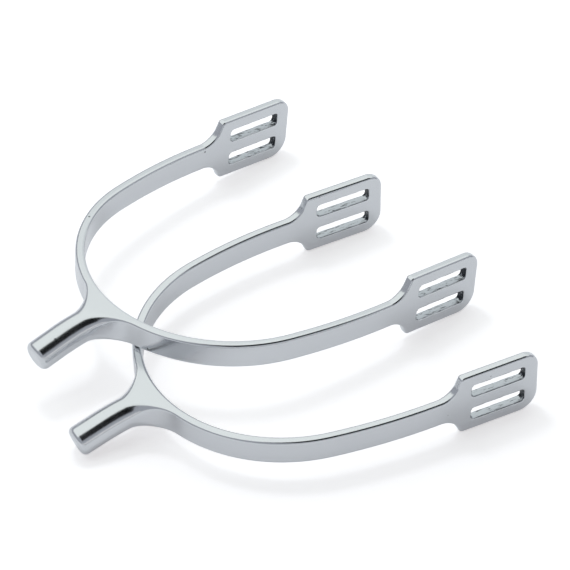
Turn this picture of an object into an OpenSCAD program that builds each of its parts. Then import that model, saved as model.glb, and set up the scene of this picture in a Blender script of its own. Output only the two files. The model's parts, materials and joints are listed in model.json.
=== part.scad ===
// Pair of blunt-necked English riding spurs, each one solid casting in stainless steel.
// Each spur has a heel band, two arms that end in slotted strap ends, and a round neck.
// The lower spur stands on the end of its neck and on both strap ends. The upper spur lies
// beside it, with one arm across the lower spur's band. +X runs from the heel to the strap
// ends of the lower spur, +Z is up, and the origin is under the middle of the pair.

/* [Heel and arms] */
// Radius of the heel's round, at the middle of the band's thickness
heel_radius = 37.8; // [30:0.1:46]
// Angle that the heel's round turns through on each side of the neck
heel_angle = 78; // [70:1:84]
// Radius of the gentle curve that carries each arm on from the heel's round
arm_radius = 140; // [100:5:200]
// Straight length of each arm, from its curve to its strap end
arm_straight = 6; // [5:0.5:20]
// How far the arms bow down by the far tips of the strap ends
arm_bow = 2.6; // [1:0.1:6]
// Thickness of the band and of the strap ends
band_thickness = 2.5; // [1.8:0.1:4]
// Height of the band
band_height = 7.1; // [5:0.1:9]

/* [Strap ends] */
// Length of each strap end
strap_end_length = 22.2; // [20:0.1:30]
// Height of each strap end
strap_end_height = 17.8; // [15:0.1:24]
// How far the strap end's middle lies above the band's middle
strap_end_raise = 0.3; // [0:0.1:1]
// Radius of the strap end's two outer corners
outer_corner = 4; // [2:0.1:6]
// Slope of the shoulders between the arm and the strap end
shoulder_slope = 66; // [50:1:80]
// Radius of the hollow where a shoulder leaves the arm
shoulder_fillet = 3; // [1:0.1:4]

/* [Strap slots] */
// Length of each strap slot
slot_length = 15.5; // [10:0.1:17]
// Height of each strap slot
slot_height = 3.7; // [3:0.1:4.2]
// Distance between the middles of the two slots in a strap end
slot_pitch = 7.4; // [6:0.1:8]
// Metal left between the slots and the strap end's tip
slot_margin = 3.9; // [3:0.1:6]
// Radius of the slots' corners
slot_corner = 1; // [0.4:0.1:1.4]

/* [Neck] */
// Diameter of the neck
neck_diameter = 8; // [6:0.1:10]
// Length of the neck along its axis, from the start of its round to its blunt end
neck_length = 16; // [14:0.5:30]
// Length of the neck that is parallel, from its blunt end to where it starts to flare
neck_parallel = 13; // [6:0.5:13]
// How much the neck's radius grows from its parallel length to the band
neck_flare = 0.3; // [0.1:0.05:0.8]
// Angle that the neck droops below the plane of the heel
neck_droop = 15.7; // [5:0.1:30]
// Length of the web between the heel band and the start of the neck's round
web_length = 5.9; // [3:0.1:9]
// Height of the neck's axis above the middle of the band, where its round starts
neck_rise = 0.2; // [-1:0.1:1]
// Width of the web where the neck runs into it
web_width = 6; // [4:0.1:8]
// Radius of the hollows on each side of the web
web_fillet = 7; // [4:0.1:9]
// Radius round the rim of the neck's blunt end
neck_rim = 0.8; // [0.3:0.1:1.5]

/* [How the pair lies] */
// How far the upper spur's heel lies ahead of the lower spur's
upper_ahead = 0.9; // [-4:0.1:6]
// How far the upper spur's heel lies to the left of the lower spur's
upper_aside = 27; // [22:0.5:40]
// Angle that the upper spur is turned to the left of the lower one
upper_turn = 8.8; // [4:0.1:12]
// Clearance between the two bands, at the middle of where they cross
crossing_gap = 0.4; // [0.3:0.05:1]

/* [Hidden] */
$fn = 180;

STEEL = [0.78, 0.79, 0.81];

// Blank that is tall enough to be trimmed to the side outline
blank_height = 60;
// Extra length of cutting tools past what they cut
over = 1;
// Flats that the heel's round, each arm's curve and each hollow are drawn with
heel_steps = 36;
curve_steps = 12;
hollow_steps = 12;
// Angle that one arc's points stop short of the next arc's
facet = 2;
// Facets round the bow, whose radius is over a metre
bow_facets = 1440;

half_band = band_height / 2;
half_thickness = band_thickness / 2;
half_end = strap_end_height / 2;
neck_radius = neck_diameter / 2;
neck_start_x = -half_thickness - web_length;

// Plan of one arm: the heel's round, the gentle curve and the straight, in that order
curve_angle = 90 - heel_angle;
curve_centre = [heel_radius - (heel_radius - arm_radius) * cos(heel_angle),
                (heel_radius - arm_radius) * sin(heel_angle)];
straight_x = curve_centre[0];
arm_y = curve_centre[1] + arm_radius;
strap_end_x = straight_x + arm_straight;
tip_x = strap_end_x + strap_end_length;

// The hollow on the left of the web touches the web's side and the heel's outer face
hollow_reach = heel_radius + half_thickness + web_fillet;
hollow_y = web_width / 2 + web_fillet;
hollow_x = heel_radius - sqrt(hollow_reach * hollow_reach - hollow_y * hollow_y);
touch_bearing = atan2(hollow_y, hollow_x - heel_radius);

// The bow is an arc in side view that starts level at the heel
bow_radius = (tip_x * tip_x + arm_bow * arm_bow) / (2 * arm_bow);
function bow_drop(x) = bow_radius - sqrt(bow_radius * bow_radius - x * x);
// The strap end is flat in side view, along the bow's slope at its middle
end_middle_x = strap_end_x + strap_end_length / 2;
end_slope = asin(end_middle_x / bow_radius);
end_middle_z = strap_end_raise - bow_drop(end_middle_x);
function on_strap_end(along, up) = [
    end_middle_x + along * cos(end_slope) + up * sin(end_slope),
    end_middle_z - along * sin(end_slope) + up * cos(end_slope)
];

// What a spur can stand on, in side view: [x, z, radius]
neck_tip_z = neck_rise - neck_length * sin(neck_droop);
neck_tip_x = neck_start_x - neck_length * cos(neck_droop);
neck_foot = [
    neck_tip_x + neck_rim * cos(neck_droop) + (neck_radius - neck_rim) * sin(neck_droop),
    neck_tip_z + neck_rim * sin(neck_droop) - (neck_radius - neck_rim) * cos(neck_droop),
    neck_rim
];
tip_foot = concat(on_strap_end(strap_end_length / 2 - outer_corner, outer_corner - half_end),
                  outer_corner);
inner_foot = concat(on_strap_end(-strap_end_length / 2, -half_end), 0);

// Tilt at which a point at [back_x, back_z] stays higher than the foot's centre by rise
function tilt(back_x, back_z, foot, rise) =
    let(a = back_z - foot[1], b = foot[0] - back_x)
    acos(rise / norm([a, b])) - atan2(b, a);
// Height of a point of the side view once the spur is tilted
function tilted(x, z, angle) = z * cos(angle) + x * sin(angle);
// Lift that stands a tilted spur on a foot
function lift(foot, angle) = foot[2] - tilted(foot[0], foot[1], angle);

// The lower spur stands on its neck's end and on its strap ends
lower_tilt = max([for (foot = [tip_foot, inner_foot])
    tilt(neck_foot[0], neck_foot[1], foot, neck_foot[2] - foot[2])]);
lower_lift = lift(neck_foot, lower_tilt);

// Where the two heels' rounds cross, in plan
upper_heel = [upper_ahead, upper_aside];
upper_forward = [cos(upper_turn), sin(upper_turn)];
upper_centre = upper_heel + heel_radius * upper_forward;
centres_apart = upper_centre - [heel_radius, 0];
apart = norm(centres_apart);
across = [centres_apart[1], -centres_apart[0]] / apart;
crossing = [heel_radius, 0] + centres_apart / 2
    - across * sqrt(heel_radius * heel_radius - apart * apart / 4);
upper_crossing_x = (crossing - upper_heel) * upper_forward;

// The upper spur stands on its strap ends, with its band on the lower spur's band
crossing_height = lower_lift + crossing_gap
    + tilted(crossing[0], half_band - bow_drop(crossing[0]), lower_tilt);
upper_bottom_z = -half_band - bow_drop(upper_crossing_x);
upper_tilt = max([for (foot = [tip_foot, inner_foot])
    tilt(upper_crossing_x, upper_bottom_z, foot, crossing_height - foot[2])]);
upper_lift = crossing_height - tilted(upper_crossing_x, upper_bottom_z, upper_tilt);

// Middle of the pair, in plan
arm_face_y = arm_y + half_thickness;
end_droop = neck_droop + lower_tilt;
back_edge = neck_tip_x * cos(lower_tilt) - neck_tip_z * sin(lower_tilt)
    - (neck_radius - neck_rim) * sin(end_droop) - neck_rim * (1 - cos(end_droop));
upper_slope = end_slope - upper_tilt;
upper_reach = end_middle_x * cos(upper_tilt) - end_middle_z * sin(upper_tilt)
    + (strap_end_length / 2 - outer_corner) * cos(upper_slope)
    + (half_end - outer_corner) * sin(upper_slope) + outer_corner;
near_edge = -arm_face_y;
front_edge = upper_heel[0] + upper_reach * cos(upper_turn) + arm_face_y * sin(upper_turn);
far_edge = upper_heel[1] + upper_reach * sin(upper_turn) + arm_face_y * cos(upper_turn);
pair_middle = [(back_edge + front_edge) / 2, (near_edge + far_edge) / 2];

// Points round an arc, from one bearing to another
function arc_points(centre, radius, from, to, steps) = [
    for (i = [0:steps])
        let(bearing = from + (to - from) * i / steps)
        centre + radius * [cos(bearing), sin(bearing)]
];
// Left half of the band's inner edge in plan, from the tip of its strap end to the heel
function inner_half() = concat(
    [[tip_x, arm_y - half_thickness]],
    arc_points(curve_centre, arm_radius - half_thickness, 90, 90 + curve_angle, curve_steps),
    arc_points([heel_radius, 0], heel_radius - half_thickness,
               90 + curve_angle + facet, 180, heel_steps)
);
// Left half of its outer edge, which ends along the hollow beside the web
function outer_half() = concat(
    [[tip_x, arm_y + half_thickness]],
    arc_points(curve_centre, arm_radius + half_thickness, 90, 90 + curve_angle, curve_steps),
    arc_points([heel_radius, 0], heel_radius + half_thickness,
               90 + curve_angle + facet, touch_bearing, heel_steps),
    arc_points([hollow_x, hollow_y], web_fillet,
               touch_bearing - 180 - facet, -90, hollow_steps)
);
function reversed(points) = [for (i = [len(points) - 1:-1:0]) points[i]];
function mirrored(points) = [for (point = points) [point[0], -point[1]]];

// Plan of the heel, arms and web, as tall as the side outline needs
module band_blank() {
    inner = inner_half();
    outer = outer_half();
    translate([0, 0, -blank_height / 2])
        linear_extrude(height = blank_height)
            polygon(concat(outer, reversed(mirrored(outer)), mirrored(inner), reversed(inner)));
}

// What a rounded corner leaves over, for a corner at the origin that points to +X +Y
module corner_waste(radius) {
    translate([-radius, -radius])
        difference() {
            square(radius + over);
            circle(radius);
        }
}

// Outline of a slot with round corners, centred
module slot_outline() {
    square([slot_length - 2 * slot_corner, slot_height], center = true);
    square([slot_length, slot_height - 2 * slot_corner], center = true);
    for (x = [-1, 1], y = [-1, 1])
        translate([x * (slot_length / 2 - slot_corner), y * (slot_height / 2 - slot_corner)])
            circle(slot_corner);
}

// One shoulder in side view, from the arm's edge up to the strap end's inner corner
module shoulder_outline(rise) {
    run = rise / tan(shoulder_slope);
    tangent = shoulder_fillet * tan(shoulder_slope / 2);
    polygon([[-run, -over], [-run, 0], [0, rise], [over, rise], [over, -over]]);
    difference() {
        polygon([[-run - tangent, -over], [-run - tangent, 0],
                 [-run + tangent * cos(shoulder_slope), tangent * sin(shoulder_slope)],
                 [-run + tangent * cos(shoulder_slope), -over]]);
        translate([-run - tangent, shoulder_fillet]) circle(shoulder_fillet);
    }
}

// A strap end in side view, centred on itself, with its shoulders and its two slots
module strap_end_outline() {
    half = strap_end_length / 2;
    slot_x = half - slot_margin - slot_length / 2;
    difference() {
        union() {
            difference() {
                translate([-half, -half_end]) square([strap_end_length, strap_end_height]);
                for (side = [-1, 1])
                    scale([1, side])
                        translate([half, half_end]) corner_waste(outer_corner);
            }
            translate([-half, half_band - strap_end_raise])
                shoulder_outline(half_end - half_band + strap_end_raise);
            mirror([0, 1]) translate([-half, half_band + strap_end_raise])
                shoulder_outline(half_end - half_band - strap_end_raise);
        }
        for (side = [-1, 1])
            translate([slot_x, side * slot_pitch / 2]) slot_outline();
    }
}

// Everything below an arc that bows down from the heel, at a height above the band's middle
module below_bow(height) {
    translate([0, -bow_radius]) circle(bow_radius + height, $fn = bow_facets);
}

// The band in side view: an even strip that bows down, as far as the strap end
module strip_outline() {
    intersection() {
        difference() {
            below_bow(half_band);
            below_bow(-half_band);
        }
        translate([-blank_height / 2, -blank_height / 2])
            square([blank_height / 2 + strap_end_x + over, blank_height]);
    }
}

// The band with its web and strap ends: the blank in plan, trimmed to the side outline
module band() {
    intersection() {
        band_blank();
        rotate([90, 0, 0])
            linear_extrude(height = 4 * arm_y, center = true)
                union() {
                    strip_outline();
                    translate([end_middle_x, end_middle_z])
                        rotate(-end_slope) strap_end_outline();
                }
    }
}

// The round neck, with its rim rounded and its root flared, along its drooping axis
module neck_rod() {
    length = neck_length + web_length + over;
    translate([neck_tip_x, 0, neck_tip_z])
        rotate([0, 90 - neck_droop, 0])
            rotate_extrude()
                union() {
                    polygon([[0, neck_rim], [neck_radius, neck_rim], [neck_radius, neck_parallel],
                             [neck_radius + neck_flare, length], [0, length]]);
                    square([neck_radius - neck_rim, neck_parallel]);
                    translate([neck_radius - neck_rim, neck_rim]) circle(neck_rim);
                }
}

// The neck, flush with the top of the band and stopped inside the band's thickness
module neck() {
    difference() {
        intersection() {
            neck_rod();
            rotate([90, 0, 0])
                linear_extrude(height = blank_height, center = true)
                    intersection() {
                        below_bow(half_band);
                        translate([-blank_height, -blank_height / 2])
                            square([blank_height, blank_height]);
                    }
        }
        translate([heel_radius, 0, -blank_height / 2])
            cylinder(r = heel_radius, h = blank_height);
    }
}

// One spur in its own frame: heel at the origin, arms along +X
module spur() {
    union() {
        band();
        neck();
    }
}

module lower_spur() {
    color(STEEL)
        translate([-pair_middle[0], -pair_middle[1], lower_lift])
            rotate([0, -lower_tilt, 0])
                spur();
}

module upper_spur() {
    color(STEEL)
        translate([upper_heel[0] - pair_middle[0], upper_heel[1] - pair_middle[1], upper_lift])
            rotate([0, -upper_tilt, upper_turn])
                spur();
}

lower_spur();
upper_spur();
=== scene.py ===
"""Visual model of a pair of blunt-necked riding spurs in polished stainless steel.

Each spur is one investment casting: a heel band with two arms, a slotted strap end on each
arm, and a round neck that spreads into the band through a flat web. The casting's surface is
a smooth distance field in the spur's own millimetres, and a surface net turns it into a mesh.
"""

import json
import logging
import math
from dataclasses import dataclass, field
from enum import Enum
from typing import Any

import bpy
import numpy as np
from mathutils import Matrix, Vector


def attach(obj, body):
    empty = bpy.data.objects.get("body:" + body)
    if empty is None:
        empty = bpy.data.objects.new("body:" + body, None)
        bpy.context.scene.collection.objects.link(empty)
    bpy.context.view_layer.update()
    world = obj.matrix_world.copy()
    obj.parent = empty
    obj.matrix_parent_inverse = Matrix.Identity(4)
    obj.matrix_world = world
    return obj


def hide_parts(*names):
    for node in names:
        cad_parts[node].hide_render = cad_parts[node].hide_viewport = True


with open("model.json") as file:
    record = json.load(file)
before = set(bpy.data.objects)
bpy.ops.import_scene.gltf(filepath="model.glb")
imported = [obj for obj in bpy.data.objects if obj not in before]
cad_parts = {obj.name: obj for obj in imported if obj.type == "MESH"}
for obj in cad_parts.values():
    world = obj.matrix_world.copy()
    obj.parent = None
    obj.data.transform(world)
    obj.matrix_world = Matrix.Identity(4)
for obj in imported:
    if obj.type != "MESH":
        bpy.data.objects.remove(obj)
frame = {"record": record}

LOG = logging.getLogger("spurs")
MM = 0.001
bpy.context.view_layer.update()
Array = np.ndarray


class Surface(Enum):
    """The two surfaces that a spur casting shows, as material slot numbers."""

    POLISHED = 0
    SLOT_WALL = 1


# ---------------------------------------------------------------- distances in millimetres


def rounded_cut(a: Array, b: Array, radius: Array | float) -> Array:
    """Intersect two distances and round the outer edge where they meet.

    Args:
        a: First signed distance.
        b: Second signed distance.
        radius: Radius of the rounded edge.

    Returns:
        The signed distance of what is inside both.
    """
    over_a, over_b = a + radius, b + radius
    inside = np.minimum(np.maximum(over_a, over_b), 0)
    return inside + np.hypot(np.maximum(over_a, 0), np.maximum(over_b, 0)) - radius


def filleted_join(a: Array, b: Array, radius: float) -> Array:
    """Join two distances and fill the hollow between them with a round fillet.

    Args:
        a: First signed distance.
        b: Second signed distance.
        radius: Radius of the fillet.

    Returns:
        The signed distance of what is inside either.
    """
    under_a, under_b = np.maximum(radius - a, 0), np.maximum(radius - b, 0)
    return np.maximum(radius, np.minimum(a, b)) - np.hypot(under_a, under_b)


def eased_min(a: Array, b: Array | float, reach: float) -> Array:
    """The lower of two heights, eased where they come within reach of each other.

    Args:
        a: First height.
        b: Second height.
        reach: Difference at which the easing starts.

    Returns:
        The eased lower height.
    """
    near = np.maximum(reach - np.abs(a - b), 0) / reach
    return np.minimum(a, b) - near * near * reach / 4


def smooth_step(x: Array, start: float, end: float) -> Array:
    """Rise smoothly from 0 at start to 1 at end.

    Args:
        x: Where to take the value.
        start: Where the rise starts.
        end: Where it ends, which may be below start.

    Returns:
        The share of the rise at each x.
    """
    t = np.clip((x - start) / (end - start), 0, 1)
    return t * t * (3 - 2 * t)


# ---------------------------------------------------------------- the casting


@dataclass(frozen=True)
class HeelAndArms:
    """The band: a round heel, two gently curved arms, and their slight downward bow, in mm."""

    heel_radius: float = 37.8
    heel_angle: float = math.radians(78)
    arm_radius: float = 140.0
    arm_straight: float = 6.0
    arm_bow: float = 2.6
    thickness: float = 2.5
    height: float = 7.1
    edge_radius: float = 0.8

    @property
    def curve_centre(self) -> tuple[float, float]:
        """Centre of the left arm's gentle curve, in plan."""
        reach = self.arm_radius - self.heel_radius
        return (self.heel_radius + reach * math.cos(self.heel_angle),
                -reach * math.sin(self.heel_angle))

    @property
    def arm_y(self) -> float:
        """Distance from the spur's middle to the middle of each arm's straight."""
        return self.curve_centre[1] + self.arm_radius

    @property
    def straight_end(self) -> float:
        """How far ahead of the heel the arms' straights end."""
        return self.curve_centre[0] + self.arm_straight

    def bow_drop(self, x: Array, tip_x: float) -> Array:
        """How far the bowed band lies below the heel.

        Args:
            x: Distance ahead of the heel.
            tip_x: Where the bow reaches its full drop.

        Returns:
            The drop at each x.
        """
        radius = (tip_x * tip_x + self.arm_bow * self.arm_bow) / (2 * self.arm_bow)
        ahead = np.maximum(x, 0)
        return radius - np.sqrt(radius * radius - ahead * ahead)

    def offset(self, x: Array, y: Array) -> Array:
        """Signed distance from the band's middle line in plan, positive outside the U.

        Args:
            x: Distance ahead of the heel.
            y: Distance to the left of the spur's middle.

        Returns:
            The signed distance at each point.
        """
        side = np.abs(y)
        centre_x, centre_y = self.curve_centre
        heel = np.hypot(x - self.heel_radius, side) - self.heel_radius
        curve = np.hypot(x - centre_x, side - centre_y) - self.arm_radius
        bearing = math.pi - self.heel_angle
        on_heel = side * math.cos(bearing) > (x - self.heel_radius) * math.sin(bearing)
        return np.where(x > centre_x, side - self.arm_y, np.where(on_heel, heel, curve))


@dataclass(frozen=True)
class StrapEnd:
    """The flat end of an arm, with its shoulders and its two strap slots, in mm."""

    length: float = 22.2
    height: float = 17.8
    raise_above_band: float = 0.3
    outer_corner: float = 4.0
    lower_corner_extra: float = 1.4
    inner_corner: float = 0.7
    shoulder_slope: float = math.radians(66)
    shoulder_fillet: float = 3.0
    slot_length: float = 15.5
    slot_height: float = 3.7
    slot_pitch: float = 7.4
    slot_margin: float = 3.9
    slot_corner: float = 1.0
    slot_edge: float = 0.24

    def outline(self, along: Array, up: Array) -> Array:
        """Signed distance of the strap end's outline, without its slots.

        Args:
            along: Distance from its middle towards its tip.
            up: Distance above its middle.

        Returns:
            The signed distance at each point.
        """
        past_tip = along - self.length / 2
        past_edge = np.abs(up) - self.height / 2
        corner = self.outer_corner + self.lower_corner_extra * (up < 0)
        plate = rounded_cut(past_tip, past_edge, corner)
        shoulder = (-(along + self.length / 2) * math.sin(self.shoulder_slope)
                    + past_edge * math.cos(self.shoulder_slope))
        return rounded_cut(plate, shoulder, self.inner_corner)

    def slots(self, along: Array, up: Array) -> Array:
        """Signed distance of the two strap slots, negative inside them.

        Args:
            along: Distance from the strap end's middle towards its tip.
            up: Distance above its middle.

        Returns:
            The signed distance at each point.
        """
        middle = self.length / 2 - self.slot_margin - self.slot_length / 2
        past_end = np.abs(along - middle) - self.slot_length / 2
        past_side = np.abs(np.abs(up) - self.slot_pitch / 2) - self.slot_height / 2
        return rounded_cut(past_end, past_side, self.slot_corner)


@dataclass(frozen=True)
class Neck:
    """The round neck that droops behind the heel, and the web it grows from, in mm."""

    radius: float = 4.0
    length: float = 16.0
    droop: float = math.radians(15.7)
    rise: float = 0.2
    start_x: float = -7.15
    hollow_radius: float = 7.0
    rim: float = 1.5
    round_from: float = -0.5
    round_by: float = -9.5
    top_easing: float = 1.6
    bottom_easing: float = 3.0

    @property
    def tip(self) -> tuple[float, float]:
        """Middle of the neck's blunt end, in side view."""
        return (self.start_x - self.length * math.cos(self.droop),
                self.rise - self.length * math.sin(self.droop))

    def axis_height(self, x: Array) -> Array:
        """Height of the neck's axis above the band's middle at each x."""
        return self.rise + (x - self.start_x) * math.tan(self.droop)

    def past_end(self, x: Array, z: Array) -> Array:
        """Signed distance past the neck's blunt end, along its axis.

        Args:
            x: Distance ahead of the heel.
            z: Height above the band's middle.

        Returns:
            The signed distance at each point.
        """
        tip_x, tip_z = self.tip
        return (tip_x - x) * math.cos(self.droop) + (tip_z - z) * math.sin(self.droop)


@dataclass(frozen=True)
class SpurCasting:
    """One whole spur as a smooth distance field, heel at the origin and arms along +X."""

    band: HeelAndArms = field(default_factory=HeelAndArms)
    strap_end: StrapEnd = field(default_factory=StrapEnd)
    neck: Neck = field(default_factory=Neck)
    cell: float = 0.28
    margin: float = 1.0
    slope_step: float = 0.01

    @property
    def tip_x(self) -> float:
        """How far ahead of the heel the strap ends' tips lie."""
        return self.band.straight_end + self.strap_end.length

    def on_strap_end(self, x: Array, z: Array) -> tuple[Array, Array]:
        """Coordinates along and across the strap end, which follows the bow's slope.

        Args:
            x: Distance ahead of the heel.
            z: Height above the band's middle at the heel.

        Returns:
            Distances along and up from the strap end's middle.
        """
        middle_x = self.tip_x - self.strap_end.length / 2
        drop = float(self.band.bow_drop(np.array(middle_x), self.tip_x))
        slope = math.atan2(2 * drop, middle_x)
        ahead, above = x - middle_x, z - self.strap_end.raise_above_band + drop
        return (ahead * math.cos(slope) - above * math.sin(slope),
                ahead * math.sin(slope) + above * math.cos(slope))

    def plan(self, x: Array, y: Array) -> Array:
        """Signed distance of the band and the web in plan.

        Args:
            x: Distance ahead of the heel.
            y: Distance to the left of the spur's middle.

        Returns:
            The signed distance at each point.
        """
        offset = self.band.offset(x, y)
        half = self.band.thickness / 2
        stem = np.maximum(np.abs(y) - self.neck.radius, x)
        return np.maximum(filleted_join(offset - half, stem, self.neck.hollow_radius),
                          -offset - half)

    def side(self, x: Array, z: Array) -> tuple[Array, Array]:
        """Signed distance of the side outline, and the radius that rounds its edges.

        Args:
            x: Distance ahead of the heel.
            z: Height above the band's middle at the heel.

        Returns:
            The signed distance and the edge radius at each point.
        """
        half = self.band.height / 2
        thick = self.neck.radius / math.cos(self.neck.droop)
        axis = self.neck.axis_height(x)
        top = eased_min(axis + thick, half, self.neck.top_easing)
        bottom = eased_min(axis - thick, -half, self.neck.bottom_easing)
        neckness = smooth_step(x, self.neck.round_from, self.neck.round_by)
        lean = np.cos(self.neck.droop * neckness)
        middle = (top + bottom) / 2 - self.band.bow_drop(x, self.tip_x)
        tall = (top - bottom) / 2 * lean
        strip = np.abs(z - middle) * lean - tall
        radius = self.band.edge_radius + (self.neck.radius - self.band.edge_radius) * neckness
        end = self.strap_end.outline(*self.on_strap_end(x, z))
        strip = np.maximum(strip, x - self.band.straight_end - self.strap_end.shoulder_fillet)
        return (filleted_join(end, strip, self.strap_end.shoulder_fillet),
                np.minimum(radius, tall))

    def distance(self, points: Array) -> Array:
        """Signed distance of the whole casting.

        Args:
            points: Points in the spur's own millimetres, in rows of x, y, z.

        Returns:
            The signed distance of each point, negative inside the metal.
        """
        x, y, z = points[..., 0], points[..., 1], points[..., 2]
        side, radius = self.side(x, z)
        body = rounded_cut(self.plan(x, y), side, radius)
        body = rounded_cut(body, self.neck.past_end(x, z), self.neck.rim)
        slots = self.strap_end.slots(*self.on_strap_end(x, z))
        return rounded_cut(body, -slots, self.strap_end.slot_edge)

    def gradient(self, points: Array) -> Array:
        """Slope of the distance field by central differences.

        Args:
            points: Points in the spur's own millimetres.

        Returns:
            The gradient at each point.
        """
        slopes = []
        for axis in range(3):
            shift = np.zeros(3)
            shift[axis] = self.slope_step
            rise = self.distance(points + shift) - self.distance(points - shift)
            slopes.append(rise / (2 * self.slope_step))
        return np.stack(slopes, axis=-1)

    def box(self) -> tuple[Array, Array]:
        """Lowest and highest corners of a box that holds the casting with room to spare."""
        tip_x, tip_z = self.neck.tip
        low = [tip_x - self.neck.radius, -self.band.arm_y - self.band.thickness,
               -self.strap_end.height / 2 - self.band.arm_bow]
        high = [self.tip_x, self.band.arm_y + self.band.thickness, self.strap_end.height / 2]
        return np.array(low) - self.margin, np.array(high) + self.margin


# ---------------------------------------------------------------- from field to mesh


@dataclass
class SurfaceNet:
    """Turns a casting's distance field into an even mesh of quads that lies on its surface.

    The grid is filled in slabs to save memory. Settling moves each vertex part of the way to
    the mean of its neighbours, and the steps onto the surface are held short so that none
    jumps to another wall.
    """

    casting: SpurCasting
    slab: int = 24
    settle_rounds: int = 6
    settle_share: float = 0.5
    surface_steps: int = 2
    longest_step: float = 0.3
    least_steepness: float = 0.2

    def grid(self) -> tuple[Array, Array]:
        """Distances at the nodes of an even grid round the casting.

        Returns:
            The grid's lowest corner and the distances at its nodes.
        """
        low, high = self.casting.box()
        counts = np.ceil((high - low) / self.casting.cell).astype(int) + 1
        axes = [low[i] + self.casting.cell * np.arange(counts[i]) for i in range(3)]
        values = np.empty(counts, np.float32)
        for start in range(0, counts[0], self.slab):
            xs = axes[0][start:start + self.slab]
            block = np.stack(np.meshgrid(xs, axes[1], axes[2], indexing="ij"), axis=-1)
            values[start:start + self.slab] = self.casting.distance(block)
        return low, values

    def build(self) -> tuple[Array, Array]:
        """Place one vertex in each cell that the surface passes through, and join them.

        Returns:
            Vertices in millimetres, and quads that face outwards.
        """
        low, values = self.grid()
        cells = tuple(n - 1 for n in values.shape)
        total = np.zeros(cells + (3,), np.float32)
        count = np.zeros(cells, np.float32)
        crossings = []
        for axis in range(3):
            after = tuple(slice(1, None) if i == axis else slice(None) for i in range(3))
            before = tuple(slice(None, -1) if i == axis else slice(None) for i in range(3))
            a, b = values[before], values[after]
            node = np.argwhere((a < 0) != (b < 0))
            va, vb = a[tuple(node.T)], b[tuple(node.T)]
            point = node.astype(np.float32)
            point[:, axis] += va / (va - vb)
            others = [i for i in range(3) if i != axis]
            around = []
            for shift in ((0, 0), (1, 0), (1, 1), (0, 1)):
                cell = node.copy()
                cell[:, others[0]] -= shift[0]
                cell[:, others[1]] -= shift[1]
                np.add.at(total, tuple(cell.T), point)
                np.add.at(count, tuple(cell.T), 1)
                around.append(cell)
            outward = (va < 0) if axis != 1 else (va >= 0)
            crossings.append((around, outward))
        used = count > 0
        number = np.full(cells, -1, np.int64)
        number[used] = np.arange(used.sum())
        vertices = low + self.casting.cell * (total[used] / count[used][:, None])
        quads = []
        for around, outward in crossings:
            corner = np.stack([number[tuple(c.T)] for c in around], axis=1)
            quads.append(np.where(outward[:, None], corner, corner[:, ::-1]))
        return self.settle(vertices, np.concatenate(quads))

    def settle(self, vertices: Array, quads: Array) -> tuple[Array, Array]:
        """Even out the net along the surface and pull it onto the surface.

        Args:
            vertices: Vertices in millimetres.
            quads: Quads as rows of four vertex numbers.

        Returns:
            The settled vertices and the quads.
        """
        ends = np.concatenate([quads[:, [i, (i + 1) % 4]] for i in range(4)])
        degree = np.maximum(np.bincount(ends[:, 0], minlength=len(vertices)), 1)
        vertices = self.onto_surface(vertices)
        for _ in range(self.settle_rounds):
            mean = np.stack([np.bincount(ends[:, 0], vertices[ends[:, 1], i], len(vertices))
                             for i in range(3)], axis=1) / degree[:, None]
            slope = self.casting.gradient(vertices)
            normal = slope / np.linalg.norm(slope, axis=1, keepdims=True)
            move = mean - vertices
            move -= normal * np.sum(move * normal, axis=1, keepdims=True)
            vertices = self.onto_surface(vertices + self.settle_share * move)
        return vertices, quads

    def onto_surface(self, vertices: Array) -> Array:
        """Step each vertex along the field's slope until it lies on the surface.

        Args:
            vertices: Vertices in millimetres.

        Returns:
            The vertices on the surface.
        """
        for _ in range(self.surface_steps):
            slope = self.casting.gradient(vertices)
            steep = np.maximum(np.sum(slope * slope, axis=1), self.least_steepness)
            step = self.casting.distance(vertices) / steep
            step = np.clip(step, -self.longest_step, self.longest_step)
            vertices = vertices - slope * step[:, None]
        return vertices


# ---------------------------------------------------------------- finishes


def linear(colour: str) -> tuple[float, float, float, float]:
    """Turn an sRGB hex colour into linear RGBA.

    Args:
        colour: Colour as "#RRGGBB".

    Returns:
        The linear colour, fully opaque.
    """
    parts = [int(colour[i:i + 2], 16) / 255 for i in (1, 3, 5)]
    curved = [p / 12.92 if p <= 0.04045 else ((p + 0.055) / 1.055) ** 2.4 for p in parts]
    return curved[0], curved[1], curved[2], 1.0


def add_node(tree: bpy.types.NodeTree, kind: str, values: dict[str, Any] | None = None,
             links: dict[str, bpy.types.NodeSocket] | None = None,
             **settings: Any) -> bpy.types.Node:
    """Add a shader node with its settings, socket values and incoming links.

    Args:
        tree: Node tree to add to.
        kind: Blender's name of the node type.
        values: Input values by socket name or number.
        links: Output sockets to link from, by input socket name or number.
        **settings: Attributes to set on the node.

    Returns:
        The new node.
    """
    node = tree.nodes.new(kind)
    for name, value in settings.items():
        setattr(node, name, value)
    for key, value in (values or {}).items():
        node.inputs[key].default_value = value
    for key, socket in (links or {}).items():
        tree.links.new(socket, node.inputs[key])
    return node


def new_material(name: str) -> tuple[bpy.types.Material, bpy.types.NodeTree]:
    """Make an empty node material.

    Args:
        name: The material's name.

    Returns:
        The material and its cleared node tree.
    """
    material = bpy.data.materials.new(name)
    material.use_nodes = True
    material.node_tree.nodes.clear()
    return material, material.node_tree


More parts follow.
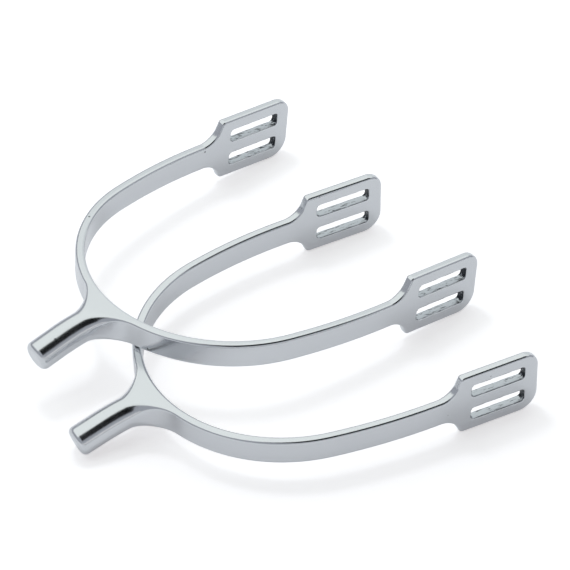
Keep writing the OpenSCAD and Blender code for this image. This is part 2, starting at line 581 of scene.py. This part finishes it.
@dataclass(frozen=True)
class BuffedStainless:
    """Stainless steel, investment cast, ground and then buffed on a cloth wheel.

    To the eye: a clear, cool mirror that is very slightly wavy where the wheel followed the
    hand, with a faint haze, hairline buffing marks along the metal and a rare tiny pit.
    """

    colour: str = "#DADCDF"
    pit_colour: str = "#55585E"
    roughness: float = 0.20
    haze: float = 0.06
    haze_mm: float = 9.0
    haze_span: tuple[float, float] = (0.35, 0.7)
    wave_mm: float = 7.0
    wave_height_mm: float = 0.005
    hairline_mm: float = 0.35
    hairline_stretch: float = 14.0
    hairline_height_mm: float = 0.0004
    pit_spacing_mm: float = 7.0
    pit_mm: float = 0.34

    def material(self) -> bpy.types.Material:
        """Build the node material.

        Returns:
            The finished material.
        """
        material, tree = new_material("buffed_stainless_steel")
        where = add_node(tree, "ShaderNodeTexCoord").outputs["Object"]
        haze = add_node(tree, "ShaderNodeTexNoise",
                        {"Scale": 1 / (self.haze_mm * MM), "Detail": 5.0, "Roughness": 0.6},
                        {"Vector": where})
        along = add_node(tree, "ShaderNodeMapping",
                         {"Scale": (1 / self.hairline_stretch, 1.0, 1.0)}, {"Vector": where})
        hairline = add_node(tree, "ShaderNodeTexNoise",
                            {"Scale": 1 / (self.hairline_mm * MM), "Detail": 3.0},
                            {"Vector": along.outputs["Vector"]})
        cells = add_node(tree, "ShaderNodeTexVoronoi",
                         {"Scale": 1 / (self.pit_spacing_mm * MM), "Randomness": 1.0},
                         {"Vector": where})
        pit = add_node(tree, "ShaderNodeMapRange",
                       {"From Min": self.pit_mm / self.pit_spacing_mm * 0.5,
                        "From Max": self.pit_mm / self.pit_spacing_mm,
                        "To Min": 1.0, "To Max": 0.0},
                       {"Value": cells.outputs["Distance"]})
        colour = add_node(tree, "ShaderNodeMix", {"A": linear(self.colour),
                                                  "B": linear(self.pit_colour)},
                          {"Factor": pit.outputs["Result"]}, data_type="RGBA")
        rough = add_node(tree, "ShaderNodeMapRange",
                         {"From Min": self.haze_span[0], "From Max": self.haze_span[1],
                          "To Min": self.roughness - self.haze / 2,
                          "To Max": self.roughness + self.haze / 2},
                         {"Value": haze.outputs["Fac"]})
        wave = add_node(tree, "ShaderNodeTexNoise",
                        {"Scale": 1 / (self.wave_mm * MM), "Detail": 1.0}, {"Vector": where})
        swell = add_node(tree, "ShaderNodeBump",
                         {"Strength": 1.0, "Distance": self.wave_height_mm * MM},
                         {"Height": wave.outputs["Fac"]})
        lines = add_node(tree, "ShaderNodeBump",
                         {"Strength": 1.0, "Distance": self.hairline_height_mm * MM},
                         {"Height": hairline.outputs["Fac"], "Normal": swell.outputs["Normal"]})
        shader = add_node(tree, "ShaderNodeBsdfPrincipled", {"Metallic": 1.0},
                          {"Base Color": colour.outputs["Result"],
                           "Roughness": rough.outputs["Result"],
                           "Normal": lines.outputs["Normal"]})
        add_node(tree, "ShaderNodeOutputMaterial", None, {"Surface": shader.outputs["BSDF"]})
        return material


@dataclass(frozen=True)
class CastSlotWall:
    """The same steel inside the strap slots, where the wheel can't reach.

    To the eye: a bright but uneven skin, broken by dark specks and short dark dashes of
    oxide skin from the casting that lie along the slot. The walls at the slots' ends are
    painted darker: painted shade, not oxide.
    """

    colour: str = "#C4C8CD"
    # Colour of the oxide dashes, and also of the painted shade on the slots' end walls.
    dash_and_shade_colour: str = "#2B2E33"
    roughness: float = 0.34
    grain_mm: float = 0.55
    grain_height_mm: float = 0.05
    dash_mm: float = 0.5
    dash_stretch: float = 4.5
    dash_and_shade_span: tuple[float, float] = (0.56, 0.66)
    # Extra darkening of the slots' end walls, chosen by their facing: painted shade.
    end_wall_painted_shade: float = 0.25

    def material(self) -> bpy.types.Material:
        """Build the node material.

        Returns:
            The finished material.
        """
        material, tree = new_material("cast_slot_wall_steel")
        where = add_node(tree, "ShaderNodeTexCoord").outputs["Object"]
        along = add_node(tree, "ShaderNodeMapping",
                         {"Scale": (1 / self.dash_stretch, 1.0, 1.0)}, {"Vector": where})
        dash = add_node(tree, "ShaderNodeTexNoise",
                        {"Scale": 1 / (self.dash_mm * MM), "Detail": 4.0, "Roughness": 0.7},
                        {"Vector": along.outputs["Vector"]})
        # Painted shade: walls whose normals point along X, meant as the slots' ends, are darkened
        # on top of the oxide dashes.
        facing = add_node(tree, "ShaderNodeSeparateXYZ", None,
                          {"Vector": add_node(tree, "ShaderNodeTexCoord").outputs["Normal"]})
        endness = add_node(tree, "ShaderNodeMath", None,
                           {0: facing.outputs["X"]}, operation="ABSOLUTE")
        dash_and_shade = add_node(tree, "ShaderNodeMath", {1: self.end_wall_painted_shade},
                         {0: endness.outputs[0], 2: dash.outputs["Fac"]},
                         operation="MULTIPLY_ADD")
        dark = add_node(tree, "ShaderNodeMapRange",
                        {"From Min": self.dash_and_shade_span[0], "From Max": self.dash_and_shade_span[1]},
                        {"Value": dash_and_shade.outputs[0]})
        colour = add_node(tree, "ShaderNodeMix", {"A": linear(self.colour),
                                                  "B": linear(self.dash_and_shade_colour)},
                          {"Factor": dark.outputs["Result"]}, data_type="RGBA")
        grain = add_node(tree, "ShaderNodeTexNoise",
                         {"Scale": 1 / (self.grain_mm * MM), "Detail": 3.0}, {"Vector": where})
        bump = add_node(tree, "ShaderNodeBump",
                        {"Strength": 1.0, "Distance": self.grain_height_mm * MM},
                        {"Height": grain.outputs["Fac"]})
        shader = add_node(tree, "ShaderNodeBsdfPrincipled",
                          {"Metallic": 1.0, "Roughness": self.roughness},
                          {"Base Color": colour.outputs["Result"],
                           "Normal": bump.outputs["Normal"]})
        add_node(tree, "ShaderNodeOutputMaterial", None, {"Surface": shader.outputs["BSDF"]})
        return material


# ---------------------------------------------------------------- the pair of spurs


@dataclass
class Spur:
    """One finished spur, placed where the frame's mounts say its heel and neck are."""

    node: str
    body: str
    side: str
    casting: SpurCasting

    def place(self) -> Matrix:
        """Work out where the spur's own frame lies, from its heel seat and its neck.

        Returns:
            The matrix from the spur's own frame, in metres, to the shared frame.
        """
        mounts = {m["name"]: m for m in frame["record"]["mounts"]}
        seat, neck = mounts[f"{self.side}_heel_seat"], mounts[f"{self.side}_neck"]
        up = Vector(seat["axis"]).normalized()
        back = Vector(neck["axis"])
        forward = (back.dot(up) * up - back).normalized()
        left = up.cross(forward)
        origin = Vector(seat["pos_m"]) - forward * self.casting.band.heel_radius * MM
        turned = Matrix((forward, left, up)).transposed().to_4x4()
        return Matrix.Translation(origin) @ turned

    def build(self, vertices: Array, quads: Array,
              finishes: list[bpy.types.Material]) -> bpy.types.Object:
        """Make the spur's mesh object, dressed and riding on its body.

        Args:
            vertices: The casting's vertices in its own millimetres.
            quads: The casting's quads.
            finishes: Materials in the order of Surface.

        Returns:
            The finished object.
        """
        place = np.array(self.place())
        mesh = bpy.data.meshes.new(f"{self.node}_casting")
        placed = vertices * MM @ place[:3, :3].T + place[:3, 3]
        mesh.from_pydata(placed.tolist(), [], quads.tolist())
        for material in finishes:
            mesh.materials.append(material)
        mesh.polygons.foreach_set("use_smooth", np.ones(len(quads), bool))
        mesh.polygons.foreach_set("material_index", self.surfaces(vertices, quads))
        slope = self.casting.gradient(vertices) @ place[:3, :3].T
        normal = slope / np.linalg.norm(slope, axis=1, keepdims=True)
        mesh.normals_split_custom_set_from_vertices(normal.tolist())
        mesh.update()
        piece = bpy.data.objects.new(f"{self.node}_casting", mesh)
        bpy.context.scene.collection.objects.link(piece)
        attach(piece, self.body)
        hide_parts(self.node)
        return piece

    def surfaces(self, vertices: Array, quads: Array) -> Array:
        """Say which quads are slot walls.

        Args:
            vertices: The casting's vertices in its own millimetres.
            quads: The casting's quads.

        Returns:
            The number of the surface that each quad belongs to.
        """
        middle = vertices[quads].mean(axis=1)
        slope = self.casting.gradient(middle)
        along, up = self.casting.on_strap_end(middle[:, 0], middle[:, 2])
        edge_share, steepest = 0.25, 0.5
        strap_end = self.casting.strap_end
        at_slot = strap_end.slots(along, up) < strap_end.slot_edge * edge_share
        across = np.abs(slope[:, 1]) < steepest
        return np.where(at_slot & across, Surface.SLOT_WALL.value,
                        Surface.POLISHED.value).astype(np.int32)


# ---------------------------------------------------------------- studio


@dataclass(frozen=True)
class Studio:
    """A white sweep under one large overhead panel, in a grey surround.

    A dark card, a light strip and a light wall hang round it for the metal to mirror. The
    floor glows a little towards the camera and in the metal, and keeps the spurs' shadows.
    """

    floor_colour: str = "#E1E3E8"
    lift_colour: str = "#FFFBF8"
    floor_lift: float = 0.52
    floor_lift_in_metal: float = 0.21
    floor_size: float = 6.0
    world_colour: str = "#E6EBF4"
    world_level: float = 0.50
    panel_colour: str = "#FAFFF5"
    panel_level: float = 0.63
    panel_size: tuple[float, float] = (2.4, 2.0)
    panel_middle: tuple[float, float, float] = (0.1, 0.70, 0.90)
    key_level: float = 14.0
    key_size: float = 0.20
    key_middle: tuple[float, float, float] = (0.02, 0.47, 1.0)
    card_colour: str = "#0C0D0F"
    card_size: tuple[float, float] = (0.95, 0.68)
    card_distance: float = 0.85
    card_azimuth: float = math.radians(-76)
    card_elevation: float = math.radians(57)
    strip_level: float = 0.95
    strip_size: tuple[float, float] = (1.8, 0.11)
    strip_elevation: float = math.radians(9)
    wall_colour: str = "#F4FAFB"
    wall_level: float = 0.90
    wall_size: tuple[float, float] = (0.75, 0.56)
    wall_azimuth: float = math.radians(40)
    wall_elevation: float = math.radians(19)
    target: tuple[float, float, float] = (0.0186, 0.0107, 0.0)
    towards_camera: tuple[float, float, float] = (-0.3500, -0.6677, 0.6571)
    camera_distance: float = 1.25
    camera_lens: float = 303.7
    camera_roll: float = math.radians(-1.3)
    camera_sensor_mm: float = 36.0
    camera_reach: float = 20.0

    def plane(self, name: str, size: tuple[float, float], place: Matrix,
              material: bpy.types.Material) -> bpy.types.Object:
        """Make a flat rectangle that belongs to the studio.

        Args:
            name: The rectangle's name.
            size: Its width and depth in metres.
            place: Where it lies.
            material: Its material.

        Returns:
            The new object.
        """
        w, d = size[0] / 2, size[1] / 2
        mesh = bpy.data.meshes.new(name)
        mesh.from_pydata([(-w, -d, 0), (w, -d, 0), (w, d, 0), (-w, d, 0)], [], [(0, 1, 2, 3)])
        mesh.materials.append(material)
        plane = bpy.data.objects.new(name, mesh)
        plane.matrix_world = place
        bpy.context.scene.collection.objects.link(plane)
        return plane

    def floor(self) -> None:
        """Lay the pale floor, which the camera sees as white with a soft shadow."""
        material, tree = new_material("studio_paper")
        paper = add_node(tree, "ShaderNodeBsdfDiffuse", {"Color": linear(self.floor_colour)})
        path = add_node(tree, "ShaderNodeLightPath")
        seen = add_node(tree, "ShaderNodeMath", {1: self.floor_lift},
                        {0: path.outputs["Is Camera Ray"]}, operation="MULTIPLY")
        level = add_node(tree, "ShaderNodeMath", {1: self.floor_lift_in_metal},
                         {0: path.outputs["Is Glossy Ray"], 2: seen.outputs[0]},
                         operation="MULTIPLY_ADD")
        lift = add_node(tree, "ShaderNodeEmission", {"Color": linear(self.lift_colour)},
                        {"Strength": level.outputs[0]})
        both = add_node(tree, "ShaderNodeAddShader", None,
                        {0: paper.outputs[0], 1: lift.outputs[0]})
        add_node(tree, "ShaderNodeOutputMaterial", None, {"Surface": both.outputs[0]})
        self.plane("studio_floor", (self.floor_size, self.floor_size), Matrix.Identity(4),
                   material)

    def facing_middle(self, azimuth: float, elevation: float) -> Matrix:
        """Place a rectangle that faces the middle of the floor from a direction.

        Args:
            azimuth: Direction round the floor, from +X towards +Y.
            elevation: Angle above the floor.

        Returns:
            The rectangle's matrix.
        """
        towards = Vector((math.cos(azimuth) * math.cos(elevation),
                          math.sin(azimuth) * math.cos(elevation), math.sin(elevation)))
        turned = (-towards).to_track_quat("Z", "Y").to_matrix().to_4x4()
        return Matrix.Translation(towards * self.card_distance) @ turned

    def card(self, name: str, size: tuple[float, float], azimuth: float, elevation: float,
             shader: str, values: dict[str, Any]) -> None:
        """Hang one card that only the metal and the floor see, facing the middle.

        Args:
            name: The card's name after "studio_".
            size: Its width and height in metres.
            azimuth: Direction round the floor, from +X towards +Y.
            elevation: Angle above the floor.
            shader: Blender's name of the shader node type.
            values: The shader's input values.
        """
        material, tree = new_material(f"studio_{name}_surface")
        surface = add_node(tree, shader, values)
        add_node(tree, "ShaderNodeOutputMaterial", None, {"Surface": surface.outputs[0]})
        card = self.plane(f"studio_{name}", size, self.facing_middle(azimuth, elevation),
                          material)
        card.visible_camera = False

    def cards(self) -> None:
        """Hang the dark card, the light strip under it and the light wall on the far side."""
        self.card("card", self.card_size, self.card_azimuth, self.card_elevation,
                  "ShaderNodeBsdfDiffuse", {"Color": linear(self.card_colour)})
        self.card("strip", self.strip_size, self.card_azimuth, self.strip_elevation,
                  "ShaderNodeEmission", {"Strength": self.strip_level})
        self.card("wall", self.wall_size, self.wall_azimuth, self.wall_elevation,
                  "ShaderNodeEmission", {"Color": linear(self.wall_colour),
                                         "Strength": self.wall_level})

    def lamp(self, name: str, size: tuple[float, float], middle: tuple[float, float, float],
             level: float) -> bpy.types.Object:
        """Hang a rectangular lamp that faces the middle of the floor.

        Args:
            name: The lamp's name.
            size: Its width and depth in metres.
            middle: Where its middle hangs.
            level: How bright its face is.

        Returns:
            The lamp's object.
        """
        data = bpy.data.lights.new(name, "AREA")
        data.shape = "RECTANGLE"
        data.size, data.size_y = size
        data.energy = level * math.pi * size[0] * size[1]
        lamp = bpy.data.objects.new(name, data)
        lamp.location = middle
        bpy.context.scene.collection.objects.link(lamp)
        return lamp

    def light(self) -> None:
        """Hang the overhead panel and the key lamp, and set the grey surround."""
        panel = self.lamp("overhead_panel", self.panel_size, self.panel_middle,
                          self.panel_level)
        panel.data.color = linear(self.panel_colour)[:3]
        key = self.lamp("key_lamp", (self.key_size, self.key_size), self.key_middle,
                        self.key_level)
        key.visible_glossy = False
        key.rotation_euler = Vector(self.key_middle).to_track_quat("Z", "Y").to_euler()
        world = bpy.data.worlds.new("surround")
        world.use_nodes = True
        surround = world.node_tree.nodes["Background"]
        surround.inputs["Color"].default_value = linear(self.world_colour)
        surround.inputs["Strength"].default_value = self.world_level
        bpy.context.scene.world = world

    def camera(self) -> None:
        """Set the long-lens camera above the necks and to their right, looking along the arms."""
        data = bpy.data.cameras.new("camera")
        data.lens = self.camera_lens
        data.sensor_width = self.camera_sensor_mm
        data.clip_end = self.camera_reach
        towards = Vector(self.towards_camera).normalized()
        turned = towards.to_track_quat("Z", "Y").to_matrix().to_4x4()
        camera = bpy.data.objects.new("camera", data)
        camera.matrix_world = (Matrix.Translation(Vector(self.target)
                                                  + towards * self.camera_distance)
                               @ turned @ Matrix.Rotation(self.camera_roll, 4, "Z"))
        bpy.context.scene.collection.objects.link(camera)
        bpy.context.scene.camera = camera

    def build(self) -> None:
        """Set the whole studio up."""
        self.floor()
        self.cards()
        self.light()
        self.camera()
        bpy.context.scene.view_settings.view_transform = "Standard"


def main() -> None:
    """Build the pair of spurs and the studio."""
    casting = SpurCasting()
    vertices, quads = SurfaceNet(casting).build()
    LOG.info("casting: %d vertices, %d quads", len(vertices), len(quads))
    finishes = [BuffedStainless().material(), CastSlotWall().material()]
    for side in ("lower", "upper"):
        name = f"{side}_spur"
        piece = Spur(name, name, side, casting).build(vertices, quads, finishes)
        LOG.info("%s built", piece.name)
    Studio().build()


if __name__ == "__main__":
    logging.basicConfig(level=logging.INFO)
    main()
